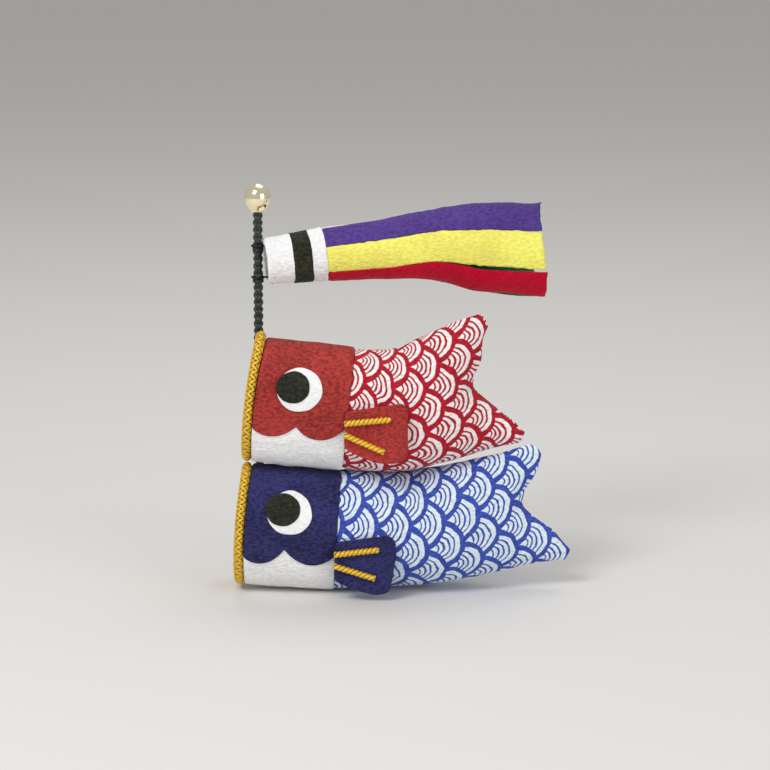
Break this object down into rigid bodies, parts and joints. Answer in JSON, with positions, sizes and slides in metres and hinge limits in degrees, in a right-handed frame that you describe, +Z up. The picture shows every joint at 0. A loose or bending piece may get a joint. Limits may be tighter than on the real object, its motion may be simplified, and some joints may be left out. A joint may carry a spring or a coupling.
{
  "type": "carp streamer display",
  "caption": "Tabletop carp streamer: stuffed crepe carp stacked beside a braid-covered pole that carries a ball finial and a swivelling windsock with ribbon tails.",
  "frame": {"origin": "on the patch that the lower carp rests on, just behind its head seam, in the carps' middle plane", "axes": "+X from the mouths to the tails, +Y from the viewer's side towards the pole's side, +Z up"},
  "size_m": [0.1354, 0.0756, 0.1617],
  "materials": {
    "navy_crepe": "crepe",
    "red_crepe": "crepe",
    "blue_scale_print": "crepe",
    "red_scale_print": "crepe",
    "white_crepe": "crepe",
    "black_crepe": "crepe",
    "gilt_cord": "metallic thread",
    "lining_cloth": "plain weave",
    "wadding": "soft",
    "weight_sand": "sand in cloth",
    "card": "card",
    "pole_wood": "plain",
    "black_braid": "silk braid",
    "gilt_ball": "gilt, polished",
    "pole_dip": "dipped glue",
    "purple_crepe": "crepe",
    "yellow_crepe": "crepe",
    "crimson_crepe": "crepe",
    "green_crepe": "crepe",
    "sky_crepe": "crepe"
  },
  "bodies": {
    "blue_carp": {"blue_body_cover": "blue_scale_print", "blue_body_padding": "wadding", "blue_cheek_cover": "white_crepe", "blue_eye_white_far": "white_crepe", "blue_eye_white_near": "white_crepe", "blue_head_cover": "navy_crepe", "blue_head_padding": "wadding", "blue_mouth_board": "card", "blue_mouth_cord": "gilt_cord", "blue_mouth_lining": "lining_cloth", "blue_pole_sleeve": "navy_crepe", "blue_pupil_far": "black_crepe", "blue_pupil_near": "black_crepe", "blue_weight_bag": "weight_sand"},
    "red_carp": {"red_body_cover": "red_scale_print", "red_body_padding": "wadding", "red_cheek_cover": "white_crepe", "red_eye_white_far": "white_crepe", "red_eye_white_near": "white_crepe", "red_head_cover": "red_crepe", "red_head_padding": "wadding", "red_mouth_board": "card", "red_mouth_cord": "gilt_cord", "red_mouth_lining": "lining_cloth", "red_pole_sleeve": "red_crepe", "red_pupil_far": "black_crepe", "red_pupil_near": "black_crepe"},
    "pole": {"pole_ball": "gilt_ball", "pole_braid": "black_braid", "pole_core": "pole_wood", "pole_foot": "pole_dip", "pole_whippings": "black_braid"},
    "windsock": {"windsock_band_black": "black_crepe", "windsock_band_inner": "white_crepe", "windsock_band_mouth": "white_crepe", "windsock_card": "card", "windsock_loops": "black_braid"},
    "blue_near_fin": {"blue_fin_near": "navy_crepe", "blue_fin_cords_near": "gilt_cord"},
    "blue_far_fin": {"blue_fin_far": "navy_crepe", "blue_fin_cords_far": "gilt_cord"},
    "red_near_fin": {"red_fin_near": "red_crepe", "red_fin_cords_near": "gilt_cord"},
    "red_far_fin": {"red_fin_far": "red_crepe", "red_fin_cords_far": "gilt_cord"},
    "purple_ribbon": {"ribbon_purple": "purple_crepe"},
    "yellow_ribbon": {"ribbon_yellow": "yellow_crepe"},
    "red_ribbon": {"ribbon_red": "crimson_crepe"},
    "green_ribbon": {"ribbon_green": "green_crepe"},
    "blue_ribbon": {"ribbon_blue": "sky_crepe"},
    "white_ribbon": {"ribbon_white": "white_crepe"}
  },
  "joints": [
    {"name": "pole_lift", "type": "slide", "parent": "blue_carp", "child": "pole", "axis": [0, 0, 1], "range_m": [0, 0.13]},
    {"name": "red_carp_swivel", "type": "hinge", "parent": "blue_carp", "child": "red_carp", "pos_m": [-0.0352, 0.0215, 0.0635], "axis": [0, 0, 1], "range_deg": [-20, 20]},
    {"name": "windsock_swivel", "type": "hinge", "parent": "pole", "child": "windsock", "pos_m": [-0.0352, 0.0215, 0.1298], "axis": [0, 0, 1], "range_deg": [-5, 300]},
    {"name": "blue_near_fin_flap", "type": "hinge", "parent": "blue_carp", "child": "blue_near_fin", "pos_m": [-0.00385, -0.0217, 0.015], "axis": [-0.0611, 0, -0.9981], "range_deg": [0, 55], "stiffness_Nm_per_rad": 0.0003},
    {"name": "blue_far_fin_flap", "type": "hinge", "parent": "blue_carp", "child": "blue_far_fin", "pos_m": [-0.00385, 0.0217, 0.015], "axis": [0.0611, 0, 0.9981], "range_deg": [0, 55], "stiffness_Nm_per_rad": 0.0003},
    {"name": "red_near_fin_flap", "type": "hinge", "parent": "red_carp", "child": "red_near_fin", "pos_m": [0.0004, -0.0217, 0.069], "axis": [-0.108, 0, -0.9942], "range_deg": [0, 55], "stiffness_Nm_per_rad": 0.0003},
    {"name": "red_far_fin_flap", "type": "hinge", "parent": "red_carp", "child": "red_far_fin", "pos_m": [0.0004, 0.0217, 0.069], "axis": [0.108, 0, 0.9942], "range_deg": [0, 55], "stiffness_Nm_per_rad": 0.0003},
    {"name": "purple_ribbon_flap", "type": "hinge", "parent": "windsock", "child": "purple_ribbon", "pos_m": [-0.00828, 0.01839, 0.14014], "axis": [0.186, -0.7404, -0.6459], "range_deg": [0, 18], "stiffness_Nm_per_rad": 0.02},
    {"name": "yellow_ribbon_flap", "type": "hinge", "parent": "windsock", "child": "yellow_ribbon", "pos_m": [-0.00673, 0.01512, 0.13039], "axis": [0.073, 0.1961, -0.9779], "range_deg": [0, 18], "stiffness_Nm_per_rad": 0.02},
    {"name": "red_ribbon_flap", "type": "hinge", "parent": "windsock", "child": "red_ribbon", "pos_m": [-0.00696, 0.02192, 0.12253], "axis": [-0.113, 0.9365, -0.332], "range_deg": [0, 18], "stiffness_Nm_per_rad": 0.02},
    {"name": "green_ribbon_flap", "type": "hinge", "parent": "windsock", "child": "green_ribbon", "pos_m": [-0.00876, 0.03199, 0.12441], "axis": [-0.186, 0.7404, 0.6459], "range_deg": [0, 18], "stiffness_Nm_per_rad": 0.02},
    {"name": "blue_ribbon_flap", "type": "hinge", "parent": "windsock", "child": "blue_ribbon", "pos_m": [-0.01031, 0.03526, 0.13416], "axis": [-0.073, -0.1961, 0.9779], "range_deg": [0, 18], "stiffness_Nm_per_rad": 0.02},
    {"name": "white_ribbon_flap", "type": "hinge", "parent": "windsock", "child": "white_ribbon", "pos_m": [-0.01008, 0.02846, 0.14203], "axis": [0.113, -0.9365, 0.332], "range_deg": [0, 18], "stiffness_Nm_per_rad": 0.02}
  ]
}
